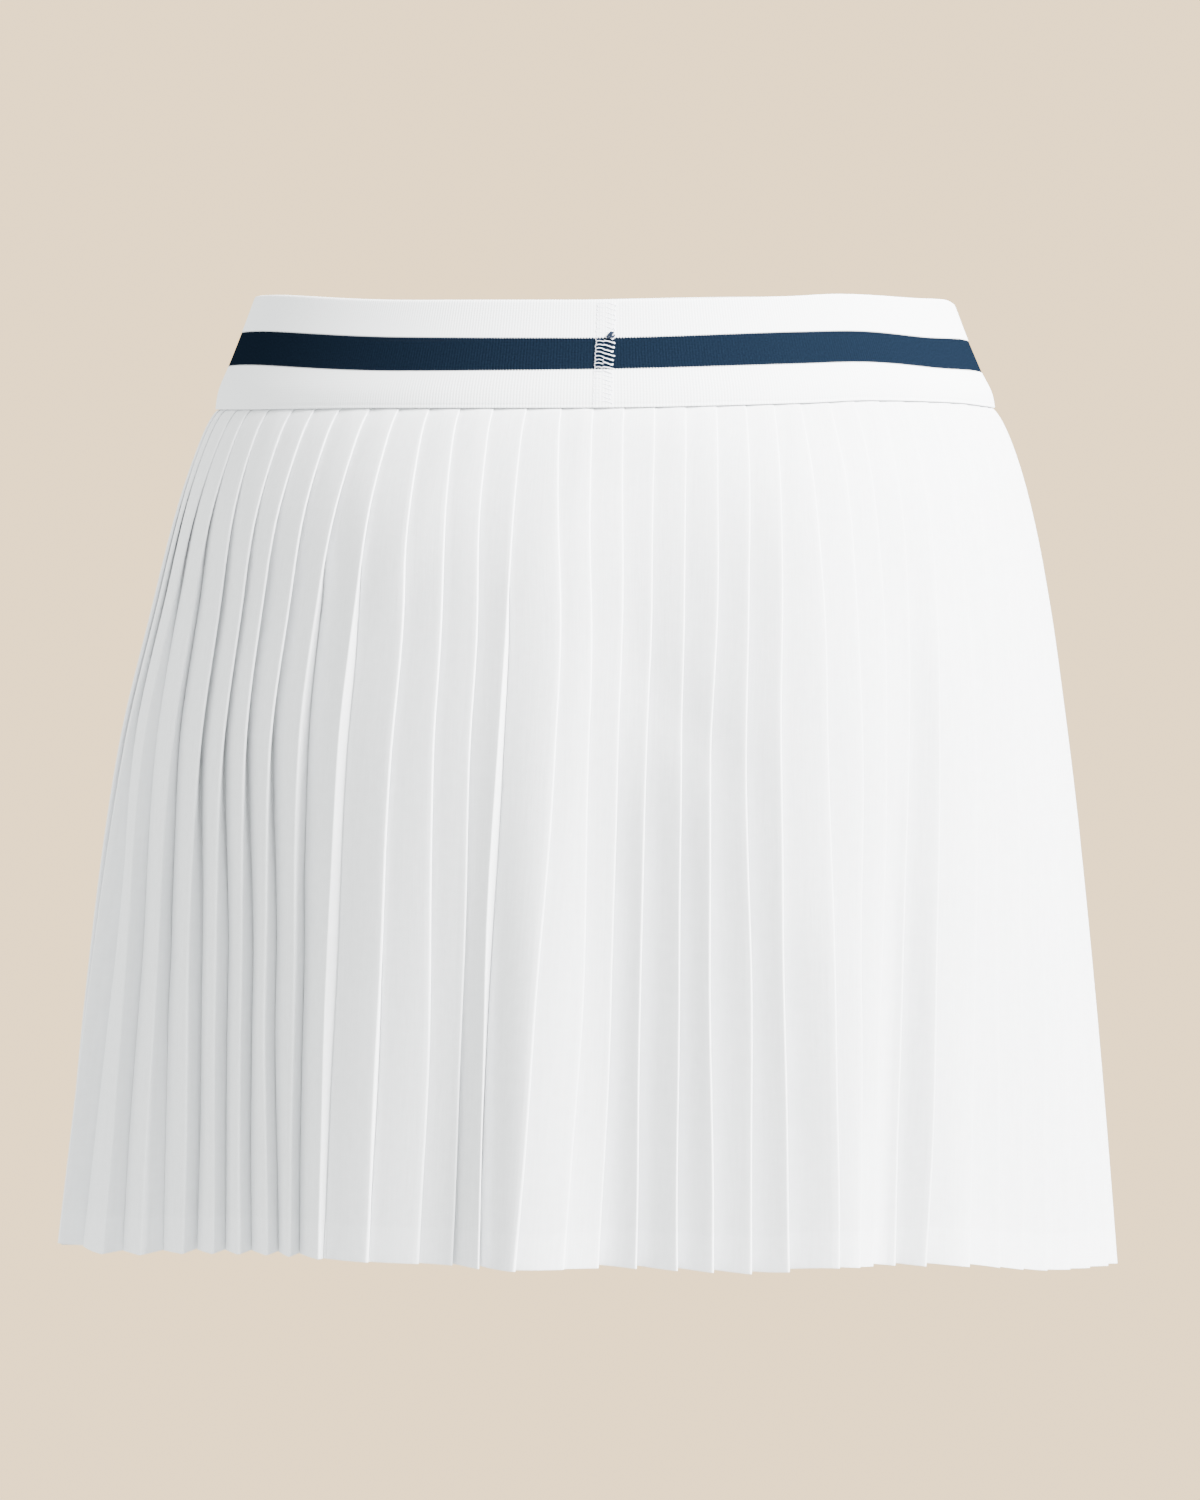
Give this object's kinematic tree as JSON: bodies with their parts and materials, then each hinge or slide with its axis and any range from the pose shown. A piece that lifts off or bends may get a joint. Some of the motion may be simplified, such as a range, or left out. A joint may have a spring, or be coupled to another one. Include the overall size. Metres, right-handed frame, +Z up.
{
  "type": "pleated skort",
  "caption": "Flared sports skort with a wide striped elastic waistband, a knife-pleated skirt and close inner shorts, filled out and open at waist and hem.",
  "frame": {"origin": "middle of the waist opening, halfway up the waistband", "axes": "+X to the wearer's right, +Y towards the wearer's front, +Z up; the back of the garment faces -Y"},
  "size_m": [0.4091, 0.2859, 0.3724],
  "materials": {
    "elastic": "ribbed white elastic with a woven navy stripe",
    "skirt_cloth": "matt white pleated woven polyester",
    "shorts_knit": "smooth white stretch knit"
  },
  "bodies": {
    "root": {"waistband": "elastic", "skirt_back": "skirt_cloth", "skirt_front": "skirt_cloth", "shorts_left": "shorts_knit", "shorts_right": "shorts_knit"}
  },
  "joints": []
}
